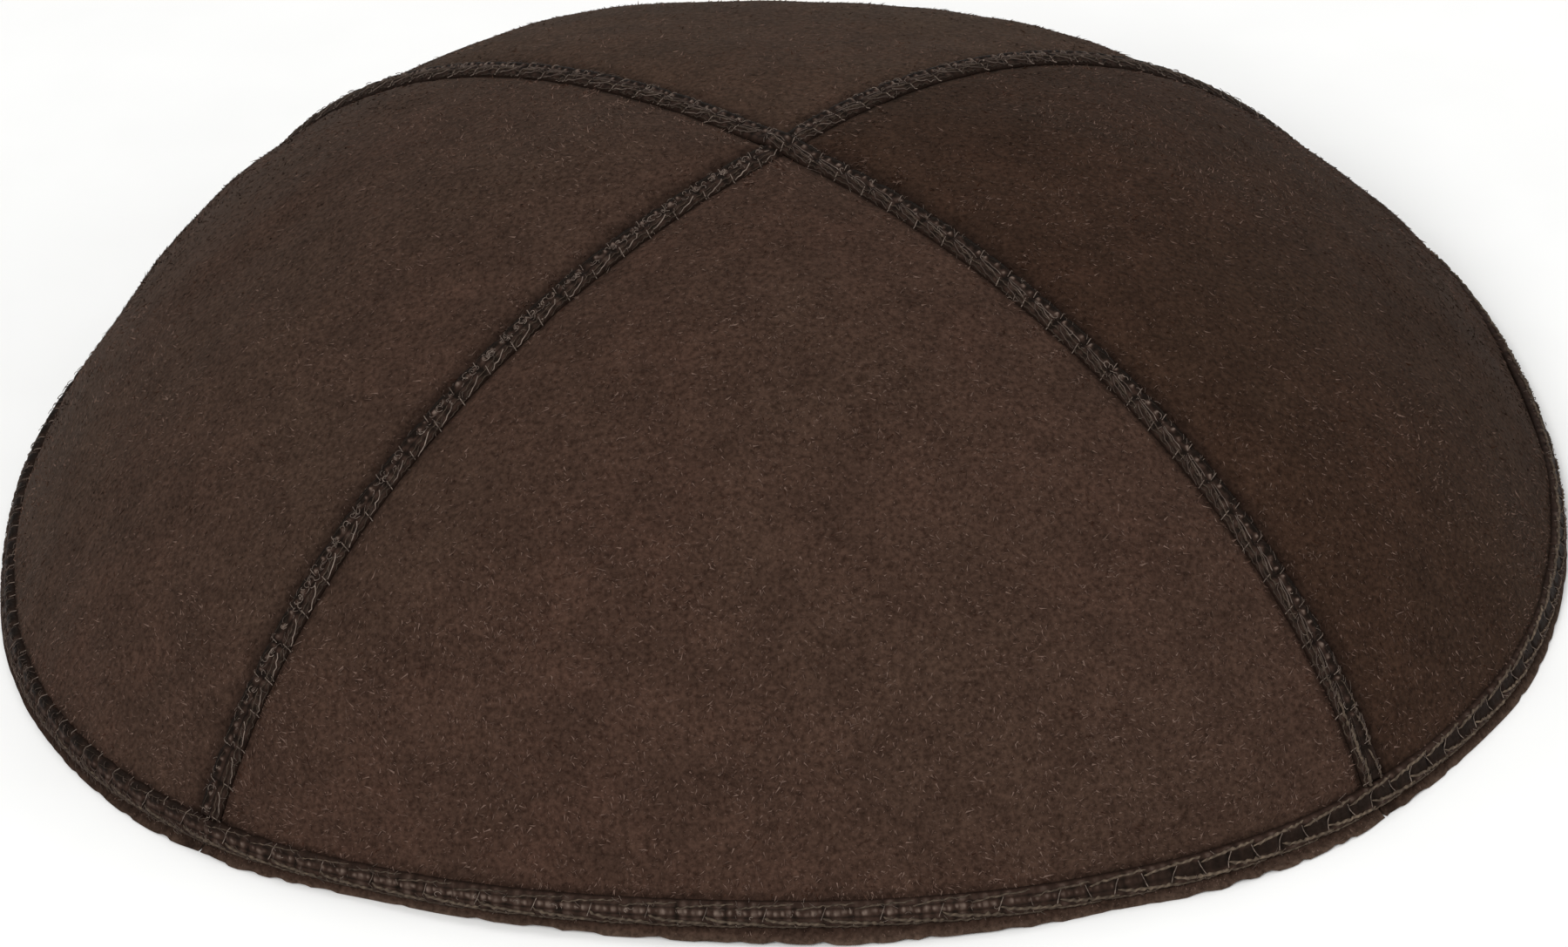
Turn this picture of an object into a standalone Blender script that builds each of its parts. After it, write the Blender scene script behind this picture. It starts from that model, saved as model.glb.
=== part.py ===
"""Skullcap of four suede panels, with a narrow ribbon over each seam and round the rim.

Metres, +Z up. The cap stands on its rim at Z = 0 and its front panel faces -Y. Places on the
crown are given by a station, which counts 0 to 8 round the cap from the front-left seam with
the seams at even numbers, and by a fall, which is 0 at the crown and 1 at the rim.
"""
import math
from collections import namedtuple

import bmesh
import bpy
from mathutils import Vector

COLLECTION_NAME = "kippah_skullcap"

# Driving sizes in metres
RIM_RADIUS = 0.085
CROWN_HEIGHT = 0.0480
CROWN_OFFSET_X = 0.0028
CROWN_OFFSET_Y = -0.0080
PANEL_PUFF = 0.0025
DENT_DEPTH = 0.0007
SUEDE_THICKNESS = 0.0015
RAW_EDGE = 0.0018
RIBBON_WIDTH = 0.0027
RIBBON_THICKNESS = 0.0006
CLEARANCE = 0.0003

# Facets
PANEL_COLUMNS = 20
PANEL_ROWS = 20
SEAM_ROWS = 26
RIM_SEGMENTS = 112

# One row for each seam and each panel's middle, round the cap from the front-left seam.
# Radius and lift are shares of RIM_RADIUS, and slope is the wall's angle at the rim in degrees.
Station = namedtuple("Station", "name radius lift slope")
STATIONS = (
    Station("front_left_seam", 1.005, 0.0, 72),
    Station("front_middle", 0.98, 0.0, 64),
    Station("front_right_seam", 1.065, 0.0, 74),
    Station("right_middle", 0.975, 0.0, 62),
    Station("back_right_seam", 1.0, 0.0, 58),
    Station("back_middle", 1.0, 0.0, 70),
    Station("back_left_seam", 1.0, 0.014, 82),
    Station("left_middle", 0.995, 0.0, 59),
)

# Directions of the seams in degrees from the front, towards +X, at the rim and at the crown
Seam = namedtuple("Seam", "name at_rim at_crown")
SEAMS = (
    Seam("front_left", -46.6, -47.0),
    Seam("front_right", 39.7, 41.3),
    Seam("back_right", 128.9, 133.0),
    Seam("back_left", 224.5, 221.3),
)

# One row for each panel, where puff is a share of PANEL_PUFF
Panel = namedtuple("Panel", "name puff color")
PANELS = (
    Panel("panel_front", 1.0, (0.060, 0.036, 0.026)),
    Panel("panel_right", 0.85, (0.052, 0.033, 0.025)),
    Panel("panel_back", 0.1, (0.054, 0.034, 0.025)),
    Panel("panel_left", 1.15, (0.062, 0.042, 0.031)),
)

# Shallow dents, each at a station and a fall with its reach both ways. Depth is a share of
# DENT_DEPTH, and a negative one is a swelling.
Dent = namedtuple("Dent", "name station fall reach_round reach_down depth")
DENTS = (
    Dent("front_left_foot", 0.32, 1.0, 0.16, 0.10, 1.0),
    Dent("front_hem", 1.05, 1.0, 0.22, 0.12, -0.6),
    Dent("front_right_foot", 1.54, 1.0, 0.10, 0.08, 1.1),
    Dent("right_foot", 2.18, 1.0, 0.18, 0.14, 0.9),
    Dent("right_hem", 2.9, 1.0, 0.25, 0.12, -0.3),
    Dent("right_shoulder", 3.8, 0.81, 0.14, 0.10, 0.6),
    Dent("back_right_crown", 4.6, 0.55, 0.30, 0.20, 0.35),
    Dent("back_left_crown", 5.45, 0.52, 0.26, 0.20, -0.6),
    Dent("left_shoulder", 6.55, 0.87, 0.18, 0.09, 0.6),
    Dent("left_hem", 7.05, 1.0, 0.25, 0.10, 0.8),
)

RIBBON_COLOR = (0.016, 0.011, 0.009)


def clear_scene():
    for item in list(bpy.data.objects):
        bpy.data.objects.remove(item, do_unlink=True)


def make_collection(name):
    collection = bpy.data.collections.new(name)
    bpy.context.scene.collection.children.link(collection)
    return collection


def make_material(name, color, roughness):
    material = bpy.data.materials.new(name)
    material.use_nodes = True
    shader = material.node_tree.nodes["Principled BSDF"]
    shader.inputs["Base Color"].default_value = (*color, 1.0)
    shader.inputs["Roughness"].default_value = roughness
    shader.inputs["Metallic"].default_value = 0.0
    return material


def smooth_round(values, station):
    """Smooth closed curve through one value at each station."""
    count = len(values)
    total = 0.0
    for index, value in enumerate(values):
        step = 2 * math.pi * (station - index) / count
        weight = 1.0 + math.cos(step * count / 2)
        for wave in range(1, count // 2):
            weight += 2 * math.cos(wave * step)
        total += value * weight / count
    return total


def eased_round(values, station):
    """Closed curve through one value at each station that never passes beyond them."""
    index = math.floor(station)
    share = (1 - math.cos(math.pi * (station - index))) / 2
    first = values[index % len(values)]
    second = values[(index + 1) % len(values)]
    return first + (second - first) * share


def rim_radius(station):
    return RIM_RADIUS * smooth_round([row.radius for row in STATIONS], station)


def rim_lift(station):
    return RIM_RADIUS * eased_round([row.lift for row in STATIONS], station)


def rim_slope(station):
    return math.radians(smooth_round([row.slope for row in STATIONS], station))


def seam_heading(index, fall):
    """Direction of a seam in radians, growing round the cap by a full turn each four seams."""
    turns, row = divmod(index, len(SEAMS))
    seam = SEAMS[row]
    return math.radians(seam.at_crown + (seam.at_rim - seam.at_crown) * fall + 360 * turns)


def heading(station, fall):
    seam = math.floor(station / 2)
    share = station / 2 - seam
    return seam_heading(seam, fall) * (1 - share) + seam_heading(seam + 1, fall) * share


def swelling(station, fall):
    """How far the suede stands out from the plain dome: the panel's puff less its dents."""
    panel = PANELS[math.floor(station / 2) % len(PANELS)]
    across = abs(math.sin(math.pi * station / 2))
    height = PANEL_PUFF * panel.puff * across * math.sin(math.pi * min(fall, 1.0))
    half_way = len(STATIONS) / 2
    for dent in DENTS:
        round_way = (station - dent.station + half_way) % len(STATIONS) - half_way
        fade = (round_way / dent.reach_round) ** 2 + ((fall - dent.fall) / dent.reach_down) ** 2
        height -= DENT_DEPTH * dent.depth * math.exp(-fade)
    return height


def flat_radius(station, fall):
    """Distance of the plain dome from its axis."""
    slope = rim_slope(station)
    return rim_radius(station) * math.sin(slope * fall) / math.sin(slope)


def crown_point(station, fall):
    """Point on the suede's outer face."""
    slope = rim_slope(station)
    angle = slope * fall
    outward = swelling(station, fall)
    radius = flat_radius(station, fall) + outward * math.sin(angle)
    lift = rim_lift(station)
    drop = (math.cos(angle) - math.cos(slope)) / (1 - math.cos(slope))
    height = lift + (CROWN_HEIGHT - lift) * drop + outward * math.cos(angle)
    turn = heading(station, fall)
    x = radius * math.sin(turn) + CROWN_OFFSET_X * (1 - fall)
    y = -radius * math.cos(turn) + CROWN_OFFSET_Y * (1 - fall)
    return Vector((x, y, height))


def crown_normal(station, fall):
    """Outward direction of the suede's outer face, even across a seam."""
    round_step = 0.02
    down_step = 0.002
    round_way = crown_point(station + round_step, fall) - crown_point(station - round_step, fall)
    down_way = crown_point(station, fall + down_step) - crown_point(station, fall - down_step)
    return down_way.cross(round_way).normalized()


def fall_length(station):
    """Length of suede from the crown to the rim, along the outer face."""
    steps = 40
    points = [crown_point(station, index / steps) for index in range(steps + 1)]
    return sum((after - before).length for before, after in zip(points, points[1:]))


def fall_above_rim(station, distance):
    return 1 - distance / fall_length(station)


def fall_below_crown(station, distance):
    return distance / fall_length(station)


def plan_centre():
    """Middle of the rim as seen from above, which becomes the origin."""
    count = RIM_SEGMENTS
    rim = [crown_point(len(STATIONS) * index / count, 1) for index in range(count)]
    middle_x = (min(point.x for point in rim) + max(point.x for point in rim)) / 2
    middle_y = (min(point.y for point in rim) + max(point.y for point in rim)) / 2
    return Vector((middle_x, middle_y, 0))


def finish(item, material, collection):
    """Give an object its material, its place in the collection and smooth shading."""
    item.data.materials.append(material)
    for home in list(item.users_collection):
        home.objects.unlink(item)
    collection.objects.link(item)
    item.data.shade_smooth()
    item.data.set_sharp_from_angle(angle=math.radians(50))


def thicken(item, thickness, offset):
    modifier = item.modifiers.new("thickness", "SOLIDIFY")
    modifier.thickness = thickness
    modifier.offset = offset
    modifier.use_even_offset = True


def shaped_grid(name, columns, rows, place):
    """A grid whose points go where place(across, up) says, with both running from 0 to 1."""
    bpy.ops.mesh.primitive_grid_add(x_subdivisions=columns, y_subdivisions=rows, size=1.0)
    item = bpy.context.object
    item.name = name
    item.data.name = name
    for vertex in item.data.vertices:
        vertex.co = place(vertex.co.x + 0.5, vertex.co.y + 0.5)
    return item


def add_panel(index, material, collection, floor):
    """One suede panel between two seams, cut flat where it meets the floor."""
    first_station = 2 * index
    # The tip stops short of the crown, beneath the crossing ribbons
    tip = fall_below_crown(first_station, RIBBON_WIDTH / 2)
    end = fall_above_rim(first_station, -SUEDE_THICKNESS)
    stations_per_radian = len(STATIONS) / (2 * math.pi)

    def place(across, up):
        fall = tip + (end - tip) * (1 - up)
        inset = CLEARANCE / 2 / flat_radius(first_station, fall) * stations_per_radian
        station = first_station + inset + (2 - 2 * inset) * across
        return crown_point(station, fall)

    item = shaped_grid(PANELS[index].name, PANEL_COLUMNS, PANEL_ROWS, place)
    thicken(item, SUEDE_THICKNESS, -1)
    cut = item.modifiers.new("floor", "BOOLEAN")
    cut.object = floor
    cut.operation = "DIFFERENCE"
    cut.solver = "EXACT"
    finish(item, material, collection)


def add_floor_cutter(collection):
    """Solid below the rim, whose top is flat at Z = 0 and rises where the rim lifts."""
    depth = 4 * SUEDE_THICKNESS
    overreach = 1.3
    data = bpy.data.meshes.new("floor_cutter")
    shape = bmesh.new()
    bmesh.ops.create_cone(shape, cap_ends=True, cap_tris=True, segments=RIM_SEGMENTS,
                          radius1=1, radius2=1, depth=depth)
    for vertex in shape.verts:
        at_top = vertex.co.z > 0
        at_middle = math.hypot(vertex.co.x, vertex.co.y) < 0.5
        station = station_of(vertex.co)
        turn = heading(station, 1)
        radius = 0 if at_middle else rim_radius(station) * overreach
        lift = 0 if at_middle else rim_lift(station) * overreach
        height = lift if at_top else -depth
        vertex.co = Vector((radius * math.sin(turn), -radius * math.cos(turn), height))
    shape.to_mesh(data)
    shape.free()
    item = bpy.data.objects.new("floor_cutter", data)
    item.hide_render = True
    item.display_type = "WIRE"
    collection.objects.link(item)
    return item


def station_of(point):
    """Station of a point on a plain ring round Z, counted from +X."""
    return (math.atan2(point.y, point.x) / (2 * math.pi) % 1) * len(STATIONS)


def add_rim_trim(material, collection):
    """Closed ribbon round the outside of the rim, just above the raw edge."""
    data = bpy.data.meshes.new("rim_trim")
    shape = bmesh.new()
    bmesh.ops.create_cone(shape, cap_ends=False, segments=RIM_SEGMENTS,
                          radius1=1, radius2=1, depth=1)
    for vertex in shape.verts:
        station = station_of(vertex.co)
        above_rim = RAW_EDGE + (RIBBON_WIDTH if vertex.co.z > 0 else 0)
        fall = fall_above_rim(station, above_rim)
        vertex.co = crown_point(station, fall) + CLEARANCE * crown_normal(station, fall)
    shape.to_mesh(data)
    shape.free()
    item = bpy.data.objects.new("rim_trim", data)
    collection.objects.link(item)
    thicken(item, RIBBON_THICKNESS, 1)
    finish(item, material, collection)


def add_ribbon(name, rows, route, material, collection):
    """Ribbon strip along a route of (station, fall) places, for a share from 0 to 1."""
    step = 0.002

    def place(across, along):
        station, fall = route(along)
        normal = crown_normal(station, fall)
        before = crown_point(*route(max(along - step, 0)))
        after = crown_point(*route(min(along + step, 1)))
        side = (after - before).normalized().cross(normal).normalized()
        seat = crown_point(station, fall) + CLEARANCE * normal
        return seat + side * RIBBON_WIDTH * (across - 0.5)

    item = shaped_grid(name, 1, rows, place)
    thicken(item, RIBBON_THICKNESS, 1)
    finish(item, material, collection)


def ribbon_foot(station):
    """Fall at which a seam's ribbon stops, just above the rim's ribbon."""
    return fall_above_rim(station, RAW_EDGE + RIBBON_WIDTH + CLEARANCE)


def add_long_trim(material, collection):
    front_right, back_left = 2, 6
    front_foot = ribbon_foot(front_right)
    back_foot = ribbon_foot(back_left)

    def route(share):
        place = front_foot - (front_foot + back_foot) * share
        if place >= 0:
            return front_right, place
        return back_left, -place

    add_ribbon("seam_trim_long", 2 * SEAM_ROWS, route, material, collection)


def add_half_trim(name, station, material, collection):
    foot = ribbon_foot(station)
    top = fall_below_crown(station, RIBBON_WIDTH / 2 + CLEARANCE)

    def route(share):
        return station, foot + (top - foot) * share

    add_ribbon(name, SEAM_ROWS, route, material, collection)


def main():
    clear_scene()
    parts = make_collection(COLLECTION_NAME)
    guides = make_collection("cutters")
    ribbon = make_material("ribbon", RIBBON_COLOR, 0.5)
    floor = add_floor_cutter(guides)
    for index, panel in enumerate(PANELS):
        suede = make_material(panel.name + "_suede", panel.color, 0.95)
        add_panel(index, suede, parts, floor)
    add_long_trim(ribbon, parts)
    add_half_trim("seam_trim_front_left", 0, ribbon, parts)
    add_half_trim("seam_trim_back_right", 4, ribbon, parts)
    add_rim_trim(ribbon, parts)
    centre = plan_centre()
    for item in list(parts.objects) + list(guides.objects):
        item.location = -centre


main()
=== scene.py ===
"""Looks of the suede skullcap: napped panels, ribbon trim, stitches, floor, light and camera.

Places on the crown are given as in the model: a station counts 0 to 8 round the cap from the
front-left seam with the seams at even numbers, and a fall is 0 at the crown and 1 at the rim.
"""
import math
from collections import namedtuple

import bpy
import numpy as np
from mathutils import Matrix, Vector


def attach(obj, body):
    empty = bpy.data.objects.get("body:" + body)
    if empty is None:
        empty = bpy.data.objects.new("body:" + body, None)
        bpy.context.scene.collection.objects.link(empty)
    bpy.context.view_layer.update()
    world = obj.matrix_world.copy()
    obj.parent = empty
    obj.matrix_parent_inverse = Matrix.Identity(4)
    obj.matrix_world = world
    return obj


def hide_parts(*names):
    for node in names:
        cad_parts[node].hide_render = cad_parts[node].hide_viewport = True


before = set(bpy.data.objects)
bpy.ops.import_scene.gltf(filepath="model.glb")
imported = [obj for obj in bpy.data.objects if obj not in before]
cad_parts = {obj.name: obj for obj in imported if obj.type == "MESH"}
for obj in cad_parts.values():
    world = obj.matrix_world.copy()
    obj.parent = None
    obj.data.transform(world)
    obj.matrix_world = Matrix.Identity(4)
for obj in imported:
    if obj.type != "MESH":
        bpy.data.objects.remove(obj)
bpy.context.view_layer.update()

# Sizes of the model in metres
RIM_RADIUS = 0.085
CROWN_HEIGHT = 0.0480
CROWN_OFFSET_X = 0.0028
CROWN_OFFSET_Y = -0.0080
PANEL_PUFF = 0.0025
DENT_DEPTH = 0.0007
SUEDE_THICKNESS = 0.0015
RAW_EDGE = 0.0018
RIBBON_WIDTH = 0.0027
CLEARANCE = 0.0003

Station = namedtuple("Station", "name radius lift slope")
STATIONS = (
    Station("front_left_seam", 1.005, 0.0, 72),
    Station("front_middle", 0.98, 0.0, 64),
    Station("front_right_seam", 1.065, 0.0, 74),
    Station("right_middle", 0.975, 0.0, 62),
    Station("back_right_seam", 1.0, 0.0, 58),
    Station("back_middle", 1.0, 0.0, 70),
    Station("back_left_seam", 1.0, 0.014, 82),
    Station("left_middle", 0.995, 0.0, 59),
)
Seam = namedtuple("Seam", "name at_rim at_crown")
SEAMS = (
    Seam("front_left", -46.6, -47.0),
    Seam("front_right", 39.7, 41.3),
    Seam("back_right", 128.9, 133.0),
    Seam("back_left", 224.5, 221.3),
)
Panel = namedtuple("Panel", "name puff color seed")
PANELS = (
    Panel("front", 1.0, (0.0680, 0.0380, 0.0268), 11),
    Panel("right", 0.85, (0.0475, 0.0250, 0.0160), 12),
    Panel("back", 0.1, (0.0715, 0.0422, 0.0288), 13),
    Panel("left", 1.15, (0.0680, 0.0392, 0.0278), 14),
)
Dent = namedtuple("Dent", "name station fall reach_round reach_down depth")
DENTS = (
    Dent("front_left_foot", 0.32, 1.0, 0.16, 0.10, 1.0),
    Dent("front_hem", 1.05, 1.0, 0.22, 0.12, -0.6),
    Dent("front_right_foot", 1.54, 1.0, 0.10, 0.08, 1.1),
    Dent("right_foot", 2.18, 1.0, 0.18, 0.14, 0.9),
    Dent("right_hem", 2.9, 1.0, 0.25, 0.12, -0.3),
    Dent("right_shoulder", 3.8, 0.81, 0.14, 0.10, 0.6),
    Dent("back_right_crown", 4.6, 0.55, 0.30, 0.20, 0.35),
    Dent("back_left_crown", 5.45, 0.52, 0.26, 0.20, -0.6),
    Dent("left_shoulder", 6.55, 0.87, 0.18, 0.09, 0.6),
    Dent("left_hem", 7.05, 1.0, 0.25, 0.10, 0.8),
)
ROUND = len(STATIONS)

# How far the hem below the ribbon spreads beyond the model's rim, with wider places round it
HEM_SPREAD = 0.00035
HEM_DEPTH = 0.0017
Flare = namedtuple("Flare", "name station reach spread")
FLARES = (
    Flare("front_left_foot", -0.05, 0.28, 0.00050),
    Flare("front_left_hem", 0.50, 0.32, -0.00055),
    Flare("front_hem", 1.08, 0.14, 0.00045),
    Flare("front_right_foot", 1.88, 0.22, 0.00070),
    Flare("right_foot", 2.35, 0.20, 0.00035),
    Flare("right_hem", 3.3, 0.40, -0.00060),
)

# Fine sizes in metres
RIM_STITCH = 0.0059
SEAM_STITCH = 0.0039
RIM_RIBBON_DROP = 0.0002
LOW_RIBBON_DROP = 0.0009
RIM_BEAD_PITCH = 0.00075
SEAM_BEAD_PITCH = 0.00125
SEAM_VALLEY = 0.00045
RIM_GROOVE = 0.00025
RIBBON_SINK = 0.00012
PUCKER = 0.00010
RIBBON_BODY = 0.00075
BEAD_RISE = 0.00024
ROLL_RISE = 0.00016
PANE_DEPTH = 0.00022
PINCH = 0.00028
THREAD_RADIUS = 0.00006
CROSSING_LIFT = 0.0005
# Reach of the painted shade on the near side of the seams' ribbons and above the rim's ribbon
CREASE_SHADE_REACH = 0.00045
RIBBON_COVERS = RIBBON_WIDTH * 0.42
RIBBON_UNDERSIDE = -0.0004
NAP_ROOT_DEPTH = 0.00008
NAP_LENGTH = 0.00048
EDGE_NAP_HEIGHT = 0.0016
INSIDE_NAP_LENGTH = 0.00078
INSIDE_ARCH = 0.00010
RIDGE_TWIST = 0.00055
THREAD_TWIST = 0.0005

# Colours
# Painted shade in the suede beside the ribbons and on the hem under the rim's ribbon at the left
CREASE_SHADE_COLOR = (0.0150, 0.0085, 0.0062, 1.0)
EDGE_COLOR = (0.0924, 0.0616, 0.0451, 1.0)
FIBRE_TIP_COLOR = (0.158, 0.106, 0.084, 1.0)
INSIDE_COLOR = (0.072, 0.045, 0.032)
INSIDE_NAP_COLOR = (0.105, 0.066, 0.048)
Cord = namedtuple("Cord", "name dark light roughness")
RIDGE_CORD = Cord("ribbon_ridges", (0.018, 0.012, 0.009, 1.0), (0.150, 0.112, 0.080, 1.0), 0.6)
THREAD_CORD = Cord("thread", (0.028, 0.018, 0.014, 1.0), (0.25, 0.195, 0.16, 1.0), 0.5)

# Detail
PANEL_COLUMNS = 144
PANEL_ROWS = 72
RIBBON_STEP = 0.00025
RIBBON_COLUMNS = 27
RIDGE_STEPS = 20
THREAD_STEPS = 7
STRAND_SIDES = 4
NAP_FIBRES = (96000, 81000, 42000, 81000)
INSIDE_FIBRES = 16000

# Looks of a ribbon by place: the station round the rim, or the fall along a seam. Roll is the
# smooth half, painted dark as shade, beads the gathers beside it, painted pale as glints, pane the
# hollow between the two ridges, painted dark as shade while the ridges and hairs are painted paler
# as lit, upper and lower the thickness of those ridges, and hairs the fibres standing on them.
# Round the rim the painted shade and glints change as the satin catches the light differently.
Look = namedtuple("Look", "place roll beads pane upper lower hairs")
RIM_LOOKS = (
    Look(0.0, 0.8, 0.6, 0.0, 0.3, 0.9, 0.6),
    Look(0.4, 0.2, 0.9, 0.0, 0.5, 0.9, 0.2),
    Look(1.3, 0.0, 1.0, 0.1, 0.6, 1.0, 0.1),
    Look(1.7, 0.0, 0.0, 1.0, 0.9, 1.0, 0.1),
    Look(2.3, 0.0, 0.0, 1.0, 1.0, 0.9, 0.2),
    Look(2.6, 0.0, 0.0, 1.0, 1.0, 0.5, 1.0),
    Look(3.4, 0.0, 0.1, 0.9, 1.0, 0.5, 0.8),
    Look(5.0, 0.3, 0.8, 0.1, 0.6, 0.9, 0.2),
    Look(6.2, 1.0, 0.4, 0.0, 0.0, 0.5, 1.0),
    Look(7.6, 1.0, 0.4, 0.0, 0.0, 0.5, 1.0),
    Look(8.0, 0.8, 0.6, 0.0, 0.3, 0.9, 0.6),
)
SEAM_LOOKS = (
    Look(0.0, 1.0, 0.9, 0.0, 0.0, 0.5, 0.1),
    Look(0.78, 1.0, 0.9, 0.0, 0.0, 0.6, 0.2),
    Look(0.9, 0.3, 0.2, 0.8, 0.8, 1.2, 1.0),
    Look(1.0, 0.0, 0.0, 1.0, 0.8, 1.2, 1.0),
)
LEFT_SEAM_LOOKS = (
    Look(0.0, 1.0, 0.9, 0.0, 0.0, 0.35, 0.05),
    Look(1.0, 1.0, 0.7, 0.0, 0.2, 0.5, 0.2),
)

# Ridges of a ribbon: where each run starts and ends across it, from -1 at its smooth side to
# 1, the share of a stitch at which it starts, its radius, paleness and look
Ridge = namedtuple("Ridge", "start end phase radius shade look")
RIM_RIDGES = (
    Ridge(-0.50, -0.80, 0.0, 0.00017, 0.90, "upper"),
    Ridge(0.46, 0.76, 0.5, 0.00018, 1.0, "lower"),
    Ridge(0.86, 0.96, 0.2, 0.00013, 0.60, "lower"),
)
SEAM_RIDGES = (
    Ridge(-0.42, -0.66, 0.1, 0.00014, 0.85, "upper"),
    Ridge(0.50, 0.66, 0.3, 0.00016, 0.80, "lower"),
    Ridge(0.88, 0.97, 0.6, 0.00009, 0.35, None),
)

# Threads of a seam: how pale the strands along its middle and its near edge are, how many small
# loops stand up each millimetre and how far across, and its ribbon's looks. Near is the side of
# the seam that faces the front.
Sewing = namedtuple("Sewing", "name station near middle edge loops loops_at looks")
SEWINGS = (
    Sewing("front_left", 0, -1, 0.0, 0.95, 3.6, -0.06, LEFT_SEAM_LOOKS),
    Sewing("front_right", 2, 1, 0.50, 0.18, 0.5, 0.1, SEAM_LOOKS),
    Sewing("back_right", 4, 1, 0.35, 0.4, 1.2, 0.1, SEAM_LOOKS),
    Sewing("back_left", 6, -1, 0.35, 0.5, 1.2, 0.1, SEAM_LOOKS),
)

# A soft key from the camera's side, a weak fill from the right and one from above
Light = namedtuple("Light", "name place size power")
LIGHTS = (
    Light("key", (-0.35, -1.15, 0.95), 0.6, 16),
    Light("fill", (1.1, -0.45, 0.4), 0.9, 3.5),
    Light("top", (0.0, 0.5, 1.3), 0.9, 4),
)
LIGHT_TARGET = (0, 0, 0.02)
SKY_STRENGTH = 0.56
CAMERA_RISE = 31.5
CAMERA_ROLL = -4.57
CAMERA_TARGET = (0.0023 * RIM_RADIUS, 0, 0.0396 * RIM_RADIUS)
CAMERA_DISTANCE = 11.02 * RIM_RADIUS
FOCAL_PIXELS = 10008
IMAGE_WIDTH = 1800


def smooth_round(values, station):
    """Smooth closed curve through one value at each station."""
    count = len(values)
    total = np.zeros_like(station)
    for index, value in enumerate(values):
        step = 2 * np.pi * (station - index) / count
        weight = 1.0 + np.cos(step * count / 2)
        for wave in range(1, count // 2):
            weight += 2 * np.cos(wave * step)
        total += value * weight / count
    return total


def eased_round(values, station):
    """Closed curve through one value at each station that never passes beyond them."""
    table = np.array(values)
    index = np.floor(station).astype(int)
    share = (1 - np.cos(np.pi * (station - index))) / 2
    first = table[index % len(table)]
    second = table[(index + 1) % len(table)]
    return first + (second - first) * share


def rim_slope(station):
    return np.radians(smooth_round([row.slope for row in STATIONS], station))


def seam_heading(index, fall):
    turns, row = np.divmod(index, len(SEAMS))
    at_rim = np.array([seam.at_rim for seam in SEAMS])[row]
    at_crown = np.array([seam.at_crown for seam in SEAMS])[row]
    return np.radians(at_crown + (at_rim - at_crown) * fall + 360 * turns)


def heading(station, fall):
    seam = np.floor(station / 2).astype(int)
    share = station / 2 - seam
    return seam_heading(seam, fall) * (1 - share) + seam_heading(seam + 1, fall) * share


def round_distance(station, place):
    return (station - place + ROUND / 2) % ROUND - ROUND / 2


def swelling(station, fall):
    """How far the suede stands out from the plain dome: the panel's puff less its dents."""
    puffs = np.array([panel.puff for panel in PANELS])
    puff = puffs[np.floor(station / 2).astype(int) % len(PANELS)]
    across = np.abs(np.sin(np.pi * station / 2))
    height = PANEL_PUFF * puff * across * np.sin(np.pi * np.minimum(fall, 1.0))
    for dent in DENTS:
        round_way = round_distance(station, dent.station) / dent.reach_round
        down_way = (fall - dent.fall) / dent.reach_down
        height -= DENT_DEPTH * dent.depth * np.exp(-round_way ** 2 - down_way ** 2)
    return height


def flat_radius(station, fall):
    slope = rim_slope(station)
    radius = RIM_RADIUS * smooth_round([row.radius for row in STATIONS], station)
    return radius * np.sin(slope * fall) / np.sin(slope)


def raw_crown_point(station, fall):
    slope = rim_slope(station)
    angle = slope * fall
    outward = swelling(station, fall)
    radius = flat_radius(station, fall) + outward * np.sin(angle)
    lift = RIM_RADIUS * eased_round([row.lift for row in STATIONS], station)
    drop = (np.cos(angle) - np.cos(slope)) / (1 - np.cos(slope))
    height = lift + (CROWN_HEIGHT - lift) * drop + outward * np.cos(angle)
    turn = heading(station, fall)
    x = radius * np.sin(turn) + CROWN_OFFSET_X * (1 - fall)
    y = -radius * np.cos(turn) + CROWN_OFFSET_Y * (1 - fall)
    return np.stack((x, y, height), -1)


# The model's rim has this many points, and the middle of their box is its origin
RIM_POINTS = raw_crown_point(np.arange(112) * ROUND / 112, np.ones(112))
PLAN_CENTRE = (RIM_POINTS.min(axis=0) + RIM_POINTS.max(axis=0)) / 2 * (1, 1, 0)


def crown_point(station, fall):
    """Points on the model's outer face."""
    station, fall = np.broadcast_arrays(np.asarray(station, float), np.asarray(fall, float))
    return raw_crown_point(station, fall) - PLAN_CENTRE


def unit(vectors):
    return vectors / np.linalg.norm(vectors, axis=-1, keepdims=True)


def crown_frame(station, fall):
    """Directions round the cap, down it and out of it, even across a seam."""
    round_step = 0.02
    down_step = 0.002
    round_way = crown_point(station + round_step, fall) - crown_point(station - round_step, fall)
    down_way = crown_point(station, fall + down_step) - crown_point(station, fall - down_step)
    outward = unit(np.cross(down_way, round_way))
    down_way = unit(down_way)
    return np.cross(outward, down_way), down_way, outward


FALL_STATIONS = np.linspace(0, ROUND, 65)
FALL_POINTS = crown_point(FALL_STATIONS[:, None], np.linspace(0, 1, 41)[None, :])
FALL_LENGTHS = np.linalg.norm(np.diff(FALL_POINTS, axis=1), axis=-1).sum(axis=1)


def fall_length(station):
    """Length of suede from the crown to the rim at a station."""
    return np.interp(np.asarray(station) % ROUND, FALL_STATIONS, FALL_LENGTHS)


def waves(points, size, seed):
    """Smooth seeded unevenness from -1 to 1 about, with swells of the given size in metres."""
    count = 14
    rng = np.random.default_rng(seed)
    directions = unit(rng.normal(size=(count, 3)))
    lengths = size * rng.uniform(0.7, 1.6, count)
    phases = rng.uniform(0, 2 * np.pi, count)
    total = np.zeros(points.shape[:-1])
    for direction, length, phase in zip(directions, lengths, phases):
        total += np.sin(points @ direction * (2 * np.pi / length) + phase)
    return total / math.sqrt(count / 2)


def station_length(station, fall):
    """Length round the cap that one station takes up."""
    return 2 * np.pi / ROUND * flat_radius(station, fall)


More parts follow.
